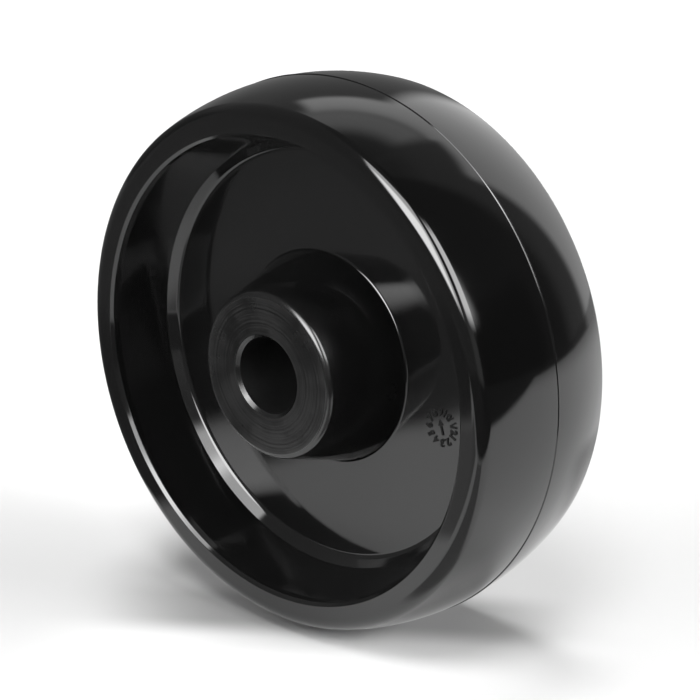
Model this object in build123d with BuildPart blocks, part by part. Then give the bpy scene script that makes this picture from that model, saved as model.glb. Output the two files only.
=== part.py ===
from build123d import *
import math
import os

# Heat-resistant castor wheel, one moulded piece: crowned rim, web and tapered hub with a plain bore.
# Millimetres. The wheel stands upright on its tread: the spin axis is +Y through the origin and +Z is up.

# Tread and rim
wheel_diameter = 150.0        # over the flash line
tread_width = 50.0
crown_radius = 72.0           # curvature of the tread across its width
shoulder_radius = 4.0         # between the tread and the side face
flash_height = 0.2            # raised line left by the mould at mid-width
flash_width = 0.7

# Recess in each side of the wheel, measured from the side face
side_face_width = 6.42        # from the mouth of the recess to the unrounded corner of the tread
mouth_chamfer = 0.85
land_depth = 2.7              # nearly straight band below the mouth
land_draft = 5.0              # degrees
wall_draft = 16.7             # degrees
foot_height = 2.6             # sloping band between the tapered wall and the web
foot_draft = 42.0             # degrees
web_corner_radius = 2.0       # fillet between the sloping band and the web
web_thickness = 11.0

# Hub
hub_length = 55.6
hub_end_diameter = 44.8       # unrounded corner at the end of the hub
hub_draft = 17.0              # degrees
hub_edge_radius = 2.0
hub_foot_radius = 0.8         # fillet between the hub and the web

# Bore for the axle
bore_diameter = 20.8
bore_chamfer = 0.9

# Softened moulded edges
lip_softening = 0.35
land_softening = 1.0
foot_softening = 0.5

half_tread = tread_width / 2
half_web = web_thickness / 2
half_hub = hub_length / 2
bore_radius = bore_diameter / 2
crown_top = wheel_diameter / 2 - flash_height


def slope(depth, degrees):
    """Change of radius over a depth along the axis at a draft angle."""
    return depth * math.tan(math.radians(degrees))


# Crown of the tread, cut off by the plane of the side face
crown_centre = crown_top - crown_radius
rim_corner = (crown_centre + math.sqrt(crown_radius**2 - half_tread**2), half_tread)

# Recess wall, from the mouth down to the web
mouth_edge = (rim_corner[0] - side_face_width, half_tread)
land_top = (mouth_edge[0] - mouth_chamfer, half_tread - mouth_chamfer)
land_foot = (land_top[0] - slope(land_depth - mouth_chamfer, land_draft), half_tread - land_depth)
wall_foot_height = half_web + foot_height
wall_foot = (land_foot[0] - slope(land_foot[1] - wall_foot_height, wall_draft), wall_foot_height)
web_outer = (wall_foot[0] - slope(foot_height, foot_draft), half_web)

# Hub side, from the end face down to the web
hub_edge = (hub_end_diameter / 2, half_hub)
hub_foot = (hub_edge[0] + slope(half_hub - half_web, hub_draft), half_web)

with BuildPart() as wheel:
    with BuildSketch(Plane.XY) as section:
        with BuildLine():
            Polyline(
                (crown_top, 0),
                (bore_radius, 0),
                (bore_radius, half_hub - bore_chamfer),
                (bore_radius + bore_chamfer, half_hub),
                hub_edge,
                hub_foot,
                web_outer,
                wall_foot,
                land_foot,
                land_top,
                mouth_edge,
                rim_corner,
            )
            RadiusArc(rim_corner, (crown_top, 0), crown_radius)
        make_face()

        def corner(point):
            """The corner of the section at a point."""
            return section.vertices().sort_by_distance((*point, 0))[0]

        fillet(corner(rim_corner), shoulder_radius)
        fillet(corner(hub_edge), hub_edge_radius)
        fillet(corner(hub_foot), hub_foot_radius)
        fillet(corner(web_outer), web_corner_radius)
        fillet(corner(wall_foot), foot_softening)
        fillet(corner(land_foot), land_softening)
        for point in (mouth_edge, land_top):
            fillet(corner(point), lip_softening)

        # Flash line, a low ridge with sloping sides
        with BuildLine():
            Polyline(
                (crown_top - flash_height, 0),
                (crown_top + flash_height, 0),
                (crown_top + flash_height, flash_width / 4),
                (crown_top - flash_height, flash_width / 2),
                close=True,
            )
        make_face()
        mirror(about=Plane.XZ)
    revolve(axis=Axis.Y)

wheel.part.label = "wheel"
os.makedirs("parts", exist_ok=True)
export_step(wheel.part, "parts/wheel.step")
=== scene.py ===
import math

import bpy
from mathutils import Matrix, Vector


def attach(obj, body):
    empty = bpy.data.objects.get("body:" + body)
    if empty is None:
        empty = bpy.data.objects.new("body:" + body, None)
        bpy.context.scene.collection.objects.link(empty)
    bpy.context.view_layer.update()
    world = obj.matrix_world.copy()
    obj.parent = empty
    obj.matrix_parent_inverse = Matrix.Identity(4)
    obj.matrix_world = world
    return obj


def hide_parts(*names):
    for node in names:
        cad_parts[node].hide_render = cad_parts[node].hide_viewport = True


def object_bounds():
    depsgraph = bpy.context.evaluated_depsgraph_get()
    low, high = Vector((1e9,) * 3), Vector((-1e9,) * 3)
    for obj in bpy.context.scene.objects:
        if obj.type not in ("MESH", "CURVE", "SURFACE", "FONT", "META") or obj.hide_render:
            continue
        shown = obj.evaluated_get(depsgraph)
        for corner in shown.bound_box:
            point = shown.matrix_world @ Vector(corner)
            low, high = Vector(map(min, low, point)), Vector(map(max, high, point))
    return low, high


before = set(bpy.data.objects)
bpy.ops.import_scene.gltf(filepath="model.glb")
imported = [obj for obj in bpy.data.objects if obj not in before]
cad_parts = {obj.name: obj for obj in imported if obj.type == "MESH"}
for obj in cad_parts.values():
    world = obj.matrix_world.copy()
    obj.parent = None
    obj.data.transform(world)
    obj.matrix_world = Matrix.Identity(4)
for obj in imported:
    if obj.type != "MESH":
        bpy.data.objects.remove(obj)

cad_low, cad_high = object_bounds()

# Sizes in metres, angles in degrees. The wheel's axle runs along Y, and the side that is seen faces -Y.
MM = 0.001
FLOOR_LEVEL = cad_low.z

# Camera, fitted to the circles of the photograph. Azimuth 0 stands on the -Y side and 90 on the +X side.
CAMERA_AZIMUTH = 42.688
CAMERA_ELEVATION = 19.478
CAMERA_DISTANCE = 630.784 * MM
CAMERA_ASIDE = 3.078 * MM
CAMERA_RAISE = 0.128 * MM
CAMERA_LENS = 120.68
SENSOR_WIDTH = 36.0
CLIP = (0.01, 100.0)


def direction(azimuth, elevation=0.0):
    """Unit vector towards an azimuth and elevation, counted as for the camera."""
    a, e = math.radians(azimuth), math.radians(elevation)
    return Vector((math.sin(a) * math.cos(e), -math.cos(a) * math.cos(e), math.sin(e)))


def add_node(tree, kind, settings=None, **inputs):
    """A new shader node; its inputs get values or links, by name or by place (i0, i1)."""
    made = tree.nodes.new(kind)
    for key, value in (settings or {}).items():
        setattr(made, key, value)
    for key, value in inputs.items():
        numbered = key[0] == "i" and key[1:].isdigit()
        socket = made.inputs[int(key[1:]) if numbered else key.replace("_", " ")]
        if isinstance(value, bpy.types.NodeSocket):
            tree.links.new(value, socket)
        else:
            socket.default_value = value
    return made


def calculate(tree, operation, *values):
    """The output of a Math node."""
    inputs = {f"i{k}": value for k, value in enumerate(values)}
    return add_node(tree, "ShaderNodeMath", {"operation": operation}, **inputs).outputs[0]


def mix_values(tree, share, first, second):
    """first where share is 0, second where it is 1."""
    settings = {"data_type": "FLOAT"}
    return add_node(tree, "ShaderNodeMix", settings, i0=share, i2=first, i3=second).outputs[0]


def smooth_step(tree, value, start, end):
    """0 below start, 1 above end and a smooth ramp between them; start may be the larger."""
    settings = {"interpolation_type": "SMOOTHSTEP"}
    return add_node(tree, "ShaderNodeMapRange", settings, i0=value, i1=start, i2=end).outputs[0]


def within(tree, value, centre, half, softness):
    """1 near the centre and 0 past half the width, over a soft edge."""
    away = calculate(tree, "ABSOLUTE", calculate(tree, "SUBTRACT", value, centre))
    return smooth_step(tree, away, half + softness / 2, half - softness / 2)


def projected(tree, ray, towards):
    """How far a direction goes along another."""
    made = add_node(tree, "ShaderNodeVectorMath", {"operation": "DOT_PRODUCT"}, i0=ray, i1=towards)
    return made.outputs["Value"]


def object_place(tree):
    """Coordinates on the object, in its own frame."""
    return add_node(tree, "ShaderNodeTexCoord").outputs["Object"]


def new_tree(material):
    material.use_nodes = True
    return material.node_tree


def make_camera():
    data = bpy.data.cameras.new("camera")
    data.sensor_width = SENSOR_WIDTH
    data.lens = CAMERA_LENS
    data.clip_start, data.clip_end = CLIP
    camera = bpy.data.objects.new("camera", data)
    bpy.context.scene.collection.objects.link(camera)
    back = direction(CAMERA_AZIMUTH, CAMERA_ELEVATION)
    right = direction(CAMERA_AZIMUTH + 90)
    up = back.cross(right)
    camera.location = CAMERA_DISTANCE * back + CAMERA_ASIDE * right + CAMERA_RAISE * up
    camera.rotation_euler = Matrix((right, up, back)).transposed().to_euler()
    bpy.context.scene.camera = camera


# Studio seen in the gloss: soft-edged panels on a dim room, each (azimuth, elevation, half width,
# half height, edge softness, brightness). Later panels cover earlier ones. The backdrop behind the
# wheel is plain, with a brightness of its own.
ROOM_BRIGHTNESS = 0.27
BACKDROP_SEEN = 1.3
PANELS = {
    "ceiling": (0, 90, 180, 24, 14, 0.17),
    "dark_left": (-93, -4, 28, 26, 14, 0.12),
    "dark_right": (98, 28, 52, 90, 10, 0.085),
    "darkest_right": (112, 6, 22, 18, 8, 0.04),
    "back_wall": (-172, 8, 23, 38, 6, 1.8),
    "back_wall_side": (-150, 43, 23, 6, 4, 1.75),
    "back_wall_top": (-146, 55, 26, 7, 10, 1.05),
    "front_right": (60, 10, 16, 14, 10, 0.55),
    "key_front": (13, 37, 25, 23, 4, 8.0),
    "key_front_centre": (9, 29, 19, 15, 8, 19.0),
    "key_side": (80, 39, 21, 18, 10, 12.0),
}


def make_studio():
    world = bpy.data.worlds.new("studio")
    bpy.context.scene.world = world
    tree = new_tree(world)
    tree.nodes.clear()
    ray = add_node(tree, "ShaderNodeTexCoord").outputs["Generated"]
    height = add_node(tree, "ShaderNodeSeparateXYZ", i0=ray).outputs[2]
    elevation = calculate(tree, "DEGREES", calculate(tree, "ARCSINE", height))
    level = ROOM_BRIGHTNESS
    for azimuth, centre, half_width, half_height, softness, brightness in PANELS.values():
        along = projected(tree, ray, direction(azimuth))
        aside = projected(tree, ray, direction(azimuth + 90))
        across = calculate(tree, "DEGREES", calculate(tree, "ARCTAN2", aside, along))
        wide = within(tree, across, 0.0, half_width, softness)
        high = within(tree, elevation, centre, half_height, softness)
        level = mix_values(tree, calculate(tree, "MULTIPLY", wide, high), level, brightness)
    seen = add_node(tree, "ShaderNodeLightPath").outputs["Is Camera Ray"]
    level = mix_values(tree, seen, level, BACKDROP_SEEN)
    background = add_node(tree, "ShaderNodeBackground", Strength=level)
    add_node(tree, "ShaderNodeOutputWorld", Surface=background.outputs[0])


# Soft lights on the floor, each (azimuth, elevation, spread, share of the floor's brightness)
FLOOR_LIGHTS = {
    "light_front": (30, 60, 20, 0.21),
    "light_top": (245, 78, 24, 0.33),
    "light_back_left": (315, 21, 28, 0.1),
    "light_right": (113, 20, 28, 0.22),
    "light_back_right": (140, 20, 28, 0.07),
    "light_left": (350, 41, 28, 0.07),
}
FLOOR_BRIGHTNESS = 1.5
FLOOR_ALBEDO = 0.8

# The floor as the camera sees it: its tone, and two bands beside the wheel that change the tone: a painted
# shadow under the wheel (factor below 1) and a painted band of light in front of it (factor above 1), each
# (distance in front of the centre, half depth, softness, half width, softness, factor). In front is
# towards the azimuth FLOOR_TURN.
FLOOR_SEEN = 0.6
FLOOR_TURN = 37
FLOOR_PAINTED_SHADE_AND_LIGHT = (
    (6 * MM, 12 * MM, 12 * MM, 50 * MM, 40 * MM, 0.6),
    (49 * MM, 30 * MM, 14 * MM, 62 * MM, 60 * MM, 1.33),
)

# A near floor, and a far one just below it that stays out of the gloss
FLOOR_ROUGHNESS = 0.8
FLOOR_RADIUS = 0.9
FAR_FLOOR_RADIUS = 20.0
FAR_FLOOR_DROP = 0.2 * MM


def make_lights():
    """Lights of the floor. They stay out of the gloss, and the studio's panels stay off the floor."""
    bpy.context.scene.world.cycles_visibility.diffuse = False
    for name, (azimuth, elevation, spread, share) in FLOOR_LIGHTS.items():
        data = bpy.data.lights.new(name, "SUN")
        data.angle = math.radians(spread)
        steepness = math.sin(math.radians(elevation))
        data.energy = share * FLOOR_BRIGHTNESS * math.pi / FLOOR_ALBEDO / steepness
        light = bpy.data.objects.new(name, data)
        bpy.context.scene.collection.objects.link(light)
        light.rotation_euler = direction(azimuth, elevation).to_track_quat("Z", "Y").to_euler()
        light.visible_glossy = False
        light.visible_camera = False


def flat_mesh(name, points, level):
    """A flat face of the stage, level with the floor."""
    mesh = bpy.data.meshes.new(name)
    mesh.from_pydata([(x, y, level) for x, y in points], [], [tuple(range(len(points)))])
    made = bpy.data.objects.new(name, mesh)
    bpy.context.scene.collection.objects.link(made)
    return made


def disc(radius):
    """Places round a circle, 3 degrees apart."""
    turns = [math.radians(3 * k) for k in range(120)]
    return [(radius * math.cos(turn), radius * math.sin(turn)) for turn in turns]


def make_floor():
    """Pale floor; the camera sees another tone of it than the gloss does, with a painted shadow and a
    painted band of light beside the wheel.
    """
    material = bpy.data.materials.new("floor")
    tree = new_tree(material)
    shader = tree.nodes["Principled BSDF"]
    shader.inputs["Roughness"].default_value = FLOOR_ROUGHNESS
    shader.inputs["Specular IOR Level"].default_value = 0.0
    seen = add_node(tree, "ShaderNodeLightPath").outputs["Is Camera Ray"]
    place = add_node(tree, "ShaderNodeSeparateXYZ", i0=object_place(tree))
    front = calculate(tree, "MULTIPLY", place.outputs[1], -1.0)
    tone = FLOOR_SEEN
    for middle, half_depth, depth_softness, half_width, width_softness, factor in FLOOR_PAINTED_SHADE_AND_LIGHT:
        # Each band paints shadow (factor below 1) or light (factor above 1) into the tone the camera sees
        deep = within(tree, front, middle, half_depth, depth_softness)
        wide = within(tree, place.outputs[0], 0.0, half_width, width_softness)
        painted_shade_and_light = mix_values(tree, calculate(tree, "MULTIPLY", deep, wide), 1.0, factor)
        tone = calculate(tree, "MULTIPLY", tone, painted_shade_and_light)
    albedo = mix_values(tree, seen, FLOOR_ALBEDO, tone)
    tree.links.new(albedo, shader.inputs["Base Color"])
    near = flat_mesh("floor", disc(FLOOR_RADIUS), FLOOR_LEVEL)
    far = flat_mesh("floor_far", disc(FAR_FLOOR_RADIUS), FLOOR_LEVEL - FAR_FLOOR_DROP)
    far.visible_glossy = False
    for piece in (near, far):
        piece.rotation_euler.z = math.radians(FLOOR_TURN)
        piece.data.materials.append(material)


# Dark cloth on the floor round the lit part, seen only in the gloss: a glowing sheet that paints the
# reflection of dim surroundings and of the floor's fading light. Places on it are counted to the
# camera's right (aside) and towards the camera (near). Each edge is a line between two such places.
CLOTH_FRONT = ((-150 * MM, 190 * MM), (400 * MM, 165 * MM))
CLOTH_FRONT_FADE = 25 * MM
CLOTH_LEFT = ((-88 * MM, -30 * MM), (-135 * MM, 50 * MM))
CLOTH_LEFT_FADE = 16 * MM
CLOTH_SIZE = 3.0
CLOTH_LIFT = 0.3 * MM

# Glow of the cloth from left to right, a painted reflection, with the places between which each part turns
# into the next
CLOTH_LEFT_TONE = 0.23
CLOTH_MIDDLE_TONE = 0.14
CLOTH_RIGHT_TONE = 0.08
LEFT_OF_MIDDLE = (-250 * MM, -330 * MM)
RIGHT_OF_MIDDLE = (-50 * MM, 300 * MM)

# The floor's reflection also fades with the distance from a place on its right: painted shade, where the
# cloth covers the floor more
LIT_CENTRE = (200 * MM, 50 * MM)
LIT_REACH = (250 * MM, 750 * MM)
LIT_LOSS = 0.5

# Grey cards on the lit floor, glowing grey patches painted into the floor's reflection, each (aside, near,
# half width, half depth, edge softness, brightness)
PAINTED_REFLECTION_CARDS = (
    (-122 * MM, 124 * MM, 46 * MM, 56 * MM, 12 * MM, 0.52),
    (8 * MM, 125 * MM, 36 * MM, 65 * MM, 12 * MM, 0.55),
    (108 * MM, -72 * MM, 32 * MM, 46 * MM, 44 * MM, 0.8),
)


def beyond(tree, aside, near, edge, fade):
    """0 to 1 over the fade past an edge, on its left as seen from its first place."""
    first, second = Vector(edge[0]), Vector(edge[1])
    along = (second - first).normalized()
    far_aside = calculate(tree, "MULTIPLY", aside, -along.y)
    far_near = calculate(tree, "MULTIPLY", near, along.x)
    start = along.x * first.y - along.y * first.x
    distance = calculate(tree, "SUBTRACT", calculate(tree, "ADD", far_aside, far_near), start)
    return smooth_step(tree, distance, 0.0, fade)


def squared_offset(tree, value, middle):
    return calculate(tree, "POWER", calculate(tree, "SUBTRACT", value, middle), 2.0)


def make_cloth():
    """The cloth and its cards: clear where the floor shows, glowing faintly where they lie, which paints
    the dim and grey places of the floor's reflection.
    """
    half = CLOTH_SIZE / 2
    cloth = flat_mesh("gloss_painted_cloth", [(-half, half), (-half, -half), (half, -half), (half, half)], 0)
    cloth.location.z = FLOOR_LEVEL + CLOTH_LIFT
    cloth.rotation_euler.z = math.radians(CAMERA_AZIMUTH)
    cloth.visible_camera = cloth.visible_diffuse = cloth.visible_shadow = False
    material = bpy.data.materials.new("gloss_painted_cloth")
    tree = new_tree(material)
    tree.nodes.clear()
    place = add_node(tree, "ShaderNodeSeparateXYZ", i0=object_place(tree))
    aside = place.outputs[0]
    near = calculate(tree, "MULTIPLY", place.outputs[1], -1.0)
    squares = [squared_offset(tree, aside, LIT_CENTRE[0]), squared_offset(tree, near, LIT_CENTRE[1])]
    spread = calculate(tree, "SQRT", calculate(tree, "ADD", *squares))
    faded = calculate(tree, "MULTIPLY", smooth_step(tree, spread, *LIT_REACH), LIT_LOSS)
    front = beyond(tree, aside, near, CLOTH_FRONT, CLOTH_FRONT_FADE)
    left = beyond(tree, aside, near, CLOTH_LEFT, CLOTH_LEFT_FADE)
    dark = calculate(tree, "MAXIMUM", calculate(tree, "MAXIMUM", front, left), faded)
    uncovered = calculate(tree, "SUBTRACT", 1.0, dark)
    solid = dark
    level = mix_values(tree, smooth_step(tree, aside, *LEFT_OF_MIDDLE), CLOTH_MIDDLE_TONE, CLOTH_LEFT_TONE)
    level = mix_values(tree, smooth_step(tree, aside, *RIGHT_OF_MIDDLE), level, CLOTH_RIGHT_TONE)
    # Each card paints a grey patch into the floor's reflection
    for middle_aside, middle_near, half_width, half_depth, softness, brightness in PAINTED_REFLECTION_CARDS:
        wide = within(tree, aside, middle_aside, half_width, softness)
        deep = within(tree, near, middle_near, half_depth, softness)
        painted_card = calculate(tree, "MULTIPLY", calculate(tree, "MULTIPLY", wide, deep), uncovered)
        solid = calculate(tree, "MAXIMUM", solid, painted_card)
        level = mix_values(tree, painted_card, level, brightness)
    # The glow is a painted reflection, seen only in the gloss
    clear = add_node(tree, "ShaderNodeBsdfTransparent")
    glow = add_node(tree, "ShaderNodeEmission", Strength=level)
    shown = add_node(tree, "ShaderNodeMixShader", i0=solid, i1=clear.outputs[0], i2=glow.outputs[0])
    add_node(tree, "ShaderNodeOutputMaterial", Surface=shown.outputs[0])
    cloth.data.materials.append(material)


# Wheel, its solid's section turned again with exact shading. Sizes in millimetres, as in the solid.
wheel_diameter = 150.0
tread_width = 50.0
crown_radius = 72.0
shoulder_radius = 4.0
flash_height = 0.2
flash_width = 0.7
side_face_width = 6.42
mouth_chamfer = 0.85
land_depth = 2.7
land_draft = 5.0
wall_draft = 16.7
foot_height = 2.6
foot_draft = 42.0
web_corner_radius = 2.0
web_thickness = 11.0
hub_length = 55.6
hub_end_diameter = 44.8
hub_draft = 17.0
hub_edge_radius = 2.0
hub_foot_radius = 0.8
bore_diameter = 20.8
bore_chamfer = 0.9
lip_softening = 0.35
land_softening = 1.0
foot_softening = 0.5

# Rounding of the flash line; steps of a rounding, of half the crown and of a full turn; and the
# distance below which two points of the section are one
flash_softening = 0.1
ROUND_STEPS = 7
CROWN_STEPS = 24
TURN_STEPS = 320
SAME_PLACE = 1e-4


def slope(depth, degrees):
    """Change of radius over a depth along the axle at a draft angle."""
    return depth * math.tan(math.radians(degrees))


def section_corners():
    """Corners of the section above the mid-plane, each (radius, height, rounding), from bore to tread."""
    half_tread = tread_width / 2
    half_web = web_thickness / 2
    half_hub = hub_length / 2
    bore = bore_diameter / 2
    crown_top = wheel_diameter / 2 - flash_height
    crown_centre = crown_top - crown_radius
    rim = crown_centre + math.sqrt(crown_radius**2 - half_tread**2)
    mouth = rim - side_face_width
    land_top = mouth - mouth_chamfer
    land_foot = land_top - slope(land_depth - mouth_chamfer, land_draft)
    wall_foot = land_foot - slope(half_tread - land_depth - half_web - foot_height, wall_draft)
    web_outer = wall_foot - slope(foot_height, foot_draft)
    hub_edge = hub_end_diameter / 2
    hub_foot = hub_edge + slope(half_hub - half_web, hub_draft)
    return [
        (bore, 0, 0),
        (bore, half_hub - bore_chamfer, 0),
        (bore + bore_chamfer, half_hub, 0),
        (hub_edge, half_hub, hub_edge_radius),
        (hub_foot, half_web, hub_foot_radius),
        (web_outer, half_web, web_corner_radius),
        (wall_foot, half_web + foot_height, foot_softening),
        (land_foot, half_tread - land_depth, land_softening),
        (land_top, half_tread - mouth_chamfer, lip_softening),
        (mouth, half_tread, lip_softening),
    ]


def arc(centre, radius, start, end, steps, outward=1):
    """Points of an arc with their outward normals; angles in radians from the +radius direction."""
    found = []
    for k in range(steps + 1):
        angle = start + (end - start) * k / steps
        spoke = Vector((math.cos(angle), math.sin(angle)))
        found.append((centre + radius * spoke, outward * spoke))
    return found


def rounded_line(corners):
    """Points and outward normals along a line through corners, each rounded by its own radius."""
    places = [Vector(corner[:2]) for corner in corners]
    found = []
    last = places[0]
    for k in range(1, len(places)):
        here = places[k]
        ahead = (here - places[k - 1]).normalized()
        normal = Vector((-ahead.y, ahead.x))
        radius = corners[k][2]
        if k + 1 == len(places) or not radius:
            found += [(last, normal), (here, normal)]
            last = here
            continue
        onward = (places[k + 1] - here).normalized()
        turn = -ahead.angle_signed(onward)
        reach = radius * math.tan(abs(turn) / 2)
        side = math.copysign(1, turn)
        first = here - reach * ahead
        centre = first + side * radius * normal
        start = math.atan2(*(first - centre).yx)
        found.append((last, normal))
        found += arc(centre, radius, start, start + turn, ROUND_STEPS, -side)
        last = here + reach * onward
    return found


def half_section():
    """Points and normals of the section above the mid-plane, from the bore to the flash line's top."""
    half_tread = tread_width / 2
    crown_top = wheel_diameter / 2 - flash_height
    crown_centre = Vector((crown_top - crown_radius, 0))
    shoulder_height = half_tread - shoulder_radius
    shoulder_place = crown_centre.x + math.sqrt((crown_radius - shoulder_radius)**2 - shoulder_height**2)
    shoulder = Vector((shoulder_place, shoulder_height))
    tilt = math.atan2(shoulder.y, shoulder.x - crown_centre.x)
    foot = math.asin(flash_width / 2 / crown_radius)
    corners = section_corners() + [(shoulder_place, half_tread, 0)]
    found = rounded_line(corners)
    found += arc(shoulder, shoulder_radius, math.pi / 2, tilt, 2 * ROUND_STEPS)
    found += arc(crown_centre, crown_radius, tilt, foot, CROWN_STEPS)
    ridge = [
        (*found[-1][0], 0),
        (crown_top + flash_height, flash_width / 4, flash_softening),
        (crown_top + flash_height, 0, 0),
    ]
    return found + rounded_line(ridge)


def turned_mesh(name, section):
    """Closed surface of revolution about Y of (point, normal) pairs, with their normals kept."""
    rows = section + [(Vector((p.x, -p.y)), Vector((n.x, -n.y))) for p, n in reversed(section)]
    count = len(rows)
    places, normals, faces = [], [], []
    for step in range(TURN_STEPS):
        angle = 2 * math.pi * step / TURN_STEPS
        s, c = math.sin(angle), math.cos(angle)
        places += [(p.x * s * MM, p.y * MM, p.x * c * MM) for p, n in rows]
        normals += [(n.x * s, n.y, n.x * c) for p, n in rows]
    for step in range(TURN_STEPS):
        here = step * count
        there = (step + 1) % TURN_STEPS * count
        for k in range(count):
            after = (k + 1) % count
            if (rows[k][0] - rows[after][0]).length > SAME_PLACE:
                faces.append((here + k, here + after, there + after, there + k))
    mesh = bpy.data.meshes.new(name)
    mesh.from_pydata(places, [], faces)
    mesh.polygons.foreach_set("use_smooth", [True] * len(faces))
    mesh.normals_split_custom_set_from_vertices(normals)
    made = bpy.data.objects.new(name, mesh)
    bpy.context.scene.collection.objects.link(made)
    return made


# Finishes: middle roughness and how far it varies either way, in patches where the noise goes over a range
RESIN_IOR = 1.55
GLOSS_ROUGHNESS = (0.075, 0.02)
SATIN_ROUGHNESS = (0.29, 0.04)
BORE_ROUGHNESS = (0.6, 0.08)
DIAL_ROUGHNESS = (0.45, 0.05)
PATCH_RANGE = (0.3, 0.7)
BORE_SPECULAR = 0.2
DIAL_SPECULAR = 0.22

# Noise in the finishes: waves per metre and detail
PATCH_NOISE = (90.0, 5.0)
WAVE_NOISE = (55.0, 1.0)
FINE_NOISE = (900.0, 2.0)
WOBBLE_NOISE = (120.0, 2.0)
RING_NOISE = (1800.0, 3.0)
GRAIN_NOISE = (700.0, 3.0)

# Depth of the relief that the noise gives
WAVE_DEPTH = 0.045 * MM
FINE_DEPTH = 0.0004 * MM
RING_DEPTH = 0.02 * MM
GRAIN_DEPTH = 0.05 * MM

# Tones of the black: the tread's turns into the recess's between two distances from the axle
TREAD_TONE = 0.0016
RECESS_TONE = 0.0055
RECESS_EDGE = (65 * MM, 63 * MM)

# The hub's ends: their palest tone, the range of the noise over which it comes, and the rings' wobble
SATIN_TONE = 0.012
SATIN_RANGE = (0.17, 0.33)
RING_WOBBLE = 0.5 * MM

# Where the gloss is duller: near the hub's ends and no further from the axle than the hub
WORN_HEIGHTS = ((hub_length / 2 - 8) * MM, (hub_length / 2 - 1.4) * MM)
WORN_RADII = (32 * MM, 28 * MM)
WORN_ROUGHNESS = 0.12

# Slack in millimetres at the bore and at the hub's ends, and how far short of its corner an end's own
# finish stops, as a share of the corner's rounding
BORE_SLACK = 0.01
END_SLACK = 0.1
END_SHARE = 0.6


def finish_zones(wheel, gloss, satin, bore):
    """Gives the bore and the flat turned ends of the hub their own finish; the edges stay glossy."""
    for material in (gloss, satin, bore):
        wheel.data.materials.append(material)
    bore_radius = bore_diameter / 2
    end_radius = (hub_end_diameter / 2 - END_SHARE * hub_edge_radius) * MM
    end_height = (hub_length / 2 - END_SLACK) * MM
    for face in wheel.data.polygons:
        centre = face.center
        radius = math.hypot(centre.x, centre.z)
        if radius < (bore_radius + BORE_SLACK) * MM:
            face.material_index = 2
        elif (bore_radius + bore_chamfer) * MM <= radius < end_radius and abs(centre.y) > end_height:
            face.material_index = 1


def noise(tree, place, scale, detail):
    """Smooth noise between 0 and 1."""
    return add_node(tree, "ShaderNodeTexNoise", Vector=place, Scale=scale, Detail=detail).outputs["Fac"]


def relief(tree, height, depth, **under):
    """Surface direction over a relief, which may lie over another, given as Normal."""
    made = add_node(tree, "ShaderNodeBump", Strength=1.0, Distance=depth, Height=height, **under)
    return made.outputs[0]


def spread_range(tree, value, span, low, high):
    """low to high as the value goes over its span."""
    inputs = {"i0": value, "i1": span[0], "i2": span[1], "i3": low, "i4": high}
    return add_node(tree, "ShaderNodeMapRange", **inputs).outputs[0]


def make_resin(name, colour, roughness, variation):
    """Black resin; the roughness varies either way in soft patches."""
    material = bpy.data.materials.new(name)
    tree = new_tree(material)
    shader = tree.nodes["Principled BSDF"]
    shader.inputs["Base Color"].default_value = (*colour, 1)
    shader.inputs["IOR"].default_value = RESIN_IOR
    place = object_place(tree)
    patches = noise(tree, place, *PATCH_NOISE)
    uneven = spread_range(tree, patches, PATCH_RANGE, roughness - variation, roughness + variation)
    tree.links.new(uneven, shader.inputs["Roughness"])
    return material, tree, shader, place


def axle_distance(tree, part):
    """Distance from the axle's line."""
    squares = [calculate(tree, "POWER", part.outputs[k], 2.0) for k in (0, 2)]
    return calculate(tree, "SQRT", calculate(tree, "ADD", *squares))


def make_gloss():
    """As moulded: glossy, over a faint waviness and a finer unevenness, and duller near the hub's ends."""
    colour = (0.0012, 0.0012, 0.0013)
    material, tree, shader, place = make_resin("moulded_resin", colour, *GLOSS_ROUGHNESS)
    broad = relief(tree, noise(tree, place, *WAVE_NOISE), WAVE_DEPTH)
    fine = relief(tree, noise(tree, place, *FINE_NOISE), FINE_DEPTH, Normal=broad)
    tree.links.new(fine, shader.inputs["Normal"])
    part = add_node(tree, "ShaderNodeSeparateXYZ", i0=place)
    radius = axle_distance(tree, part)
    recessed = smooth_step(tree, radius, *RECESS_EDGE)
    tree.links.new(mix_values(tree, recessed, TREAD_TONE, RECESS_TONE), shader.inputs["Base Color"])
    high = smooth_step(tree, calculate(tree, "ABSOLUTE", part.outputs[1]), *WORN_HEIGHTS)
    worn = calculate(tree, "MULTIPLY", high, smooth_step(tree, radius, *WORN_RADII))
    duller = calculate(tree, "MULTIPLY", worn, WORN_ROUGHNESS)
    base = shader.inputs["Roughness"].links[0].from_socket
    tree.links.new(calculate(tree, "ADD", base, duller), shader.inputs["Roughness"])
    return material


def make_satin():
    """Turned ends of the hub: satin, with fine rings left by the tool and paler patches."""
    material, tree, shader, place = make_resin("satin_hub_end", (0.004, 0.004, 0.004), *SATIN_ROUGHNESS)
    radius = axle_distance(tree, add_node(tree, "ShaderNodeSeparateXYZ", i0=place))
    wobble = noise(tree, place, *WOBBLE_NOISE)
    ringed = calculate(tree, "ADD", radius, calculate(tree, "MULTIPLY", wobble, RING_WOBBLE))
    inputs = {"W": ringed, "Scale": RING_NOISE[0], "Detail": RING_NOISE[1]}
    rings = add_node(tree, "ShaderNodeTexNoise", {"noise_dimensions": "1D"}, **inputs).outputs["Fac"]
    tree.links.new(relief(tree, rings, RING_DEPTH), shader.inputs["Normal"])
    blend = calculate(tree, "MULTIPLY", rings, wobble)
    tree.links.new(spread_range(tree, blend, SATIN_RANGE, 0.0, SATIN_TONE), shader.inputs["Base Color"])
    return material


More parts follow.
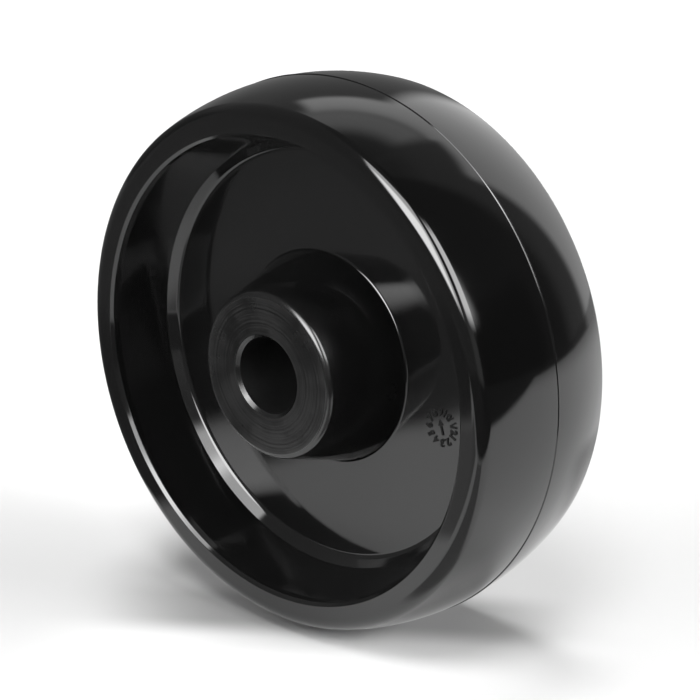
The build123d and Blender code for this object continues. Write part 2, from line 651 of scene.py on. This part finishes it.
def make_bore_finish():
    """Dull inside of the bore, with a coarse grain."""
    colour = (0.0014, 0.0014, 0.0014)
    material, tree, shader, place = make_resin("dull_bore", colour, *BORE_ROUGHNESS)
    shader.inputs["Specular IOR Level"].default_value = BORE_SPECULAR
    grain = noise(tree, place, *GRAIN_NOISE)
    tree.links.new(relief(tree, grain, GRAIN_DEPTH), shader.inputs["Normal"])
    return material


def make_dial_finish():
    """Numbers and arrow of the dial, left dull by the engraving of the mould."""
    material, _, shader, _ = make_resin("dull_dial", (0.002, 0.002, 0.002), *DIAL_ROUGHNESS)
    shader.inputs["Specular IOR Level"].default_value = DIAL_SPECULAR
    return material


# Mould date dial on the web: raised numbers 1 to 12 round an arrow. Sizes in millimetres. The centre is
# counted across and up from the axle. Twelve stands on the right, DIAL_TWELVE degrees above level.
DIAL_CENTRE = (41.3, -9.7)
DIAL_RADIUS = 4.05
DIAL_TWELVE = 5.0
NUMBER_SIZE = 2.9
BOLDNESS = 0.04
RAISED = 0.2
EDGE = 0.06
LETTER_STEPS = 4
ARROW_TURN = 18
ARROW = ((-0.22, -2.0), (0.22, -2.0), (0.22, 0.6), (0.75, 0.6), (0.0, 2.1), (-0.75, 0.6), (-0.22, 0.6))


def raised_curve(name, kind):
    """An empty curve that stands out of the web, with its edge a little rounded."""
    data = bpy.data.curves.new(name, kind)
    data.extrude = RAISED * MM
    data.bevel_depth = EDGE * MM
    data.bevel_resolution = 1
    return data


def raised_text(text):
    data = raised_curve("number", "FONT")
    data.body = text
    data.size = NUMBER_SIZE * MM
    data.offset = BOLDNESS * MM
    data.align_x = "CENTER"
    data.align_y = "CENTER"
    data.resolution_u = LETTER_STEPS
    return data


def raised_arrow():
    data = raised_curve("arrow", "CURVE")
    data.dimensions = "2D"
    data.fill_mode = "BOTH"
    line = data.splines.new("POLY")
    line.points.add(len(ARROW) - 1)
    for point, (x, y) in zip(line.points, ARROW):
        point.co = (x * MM, y * MM, 0, 1)
    line.use_cyclic_u = True
    return data


def make_dial(material):
    """One mesh of the numbers and the arrow, standing out of the web by RAISED."""
    upright = Matrix.Rotation(math.radians(90), 4, "X")
    centre = Matrix.Translation(Vector((DIAL_CENTRE[0], -web_thickness / 2, DIAL_CENTRE[1])) * MM)
    places, faces = [], []
    drawn = [(raised_arrow(), Matrix.Rotation(math.radians(ARROW_TURN), 4, "Z"))]
    outward = Matrix.Translation((0, DIAL_RADIUS * MM, 0))
    for hour in range(1, 13):
        turn = Matrix.Rotation(math.radians(DIAL_TWELVE - 90 - 30 * hour), 4, "Z")
        drawn.append((raised_text(str(hour)), turn @ outward))
    for data, place in drawn:
        shape = bpy.data.objects.new("shape", data)
        mesh = bpy.data.meshes.new_from_object(shape)
        mesh.transform(centre @ upright @ place)
        first = len(places)
        places += [vertex.co.copy() for vertex in mesh.vertices]
        faces += [tuple(first + k for k in face.vertices) for face in mesh.polygons]
        bpy.data.objects.remove(shape)
    mesh = bpy.data.meshes.new("date_dial")
    mesh.from_pydata(places, [], faces)
    made = bpy.data.objects.new("date_dial", mesh)
    bpy.context.scene.collection.objects.link(made)
    mesh.materials.append(material)
    return made


make_camera()
make_studio()
make_lights()
make_floor()
make_cloth()
bpy.context.scene.view_settings.view_transform = "Standard"

wheel = turned_mesh("wheel_turned", half_section())
finish_zones(wheel, make_gloss(), make_satin(), make_bore_finish())
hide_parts("wheel")
dial = make_dial(make_dial_finish())
for piece in (wheel, dial):
    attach(piece, "root")
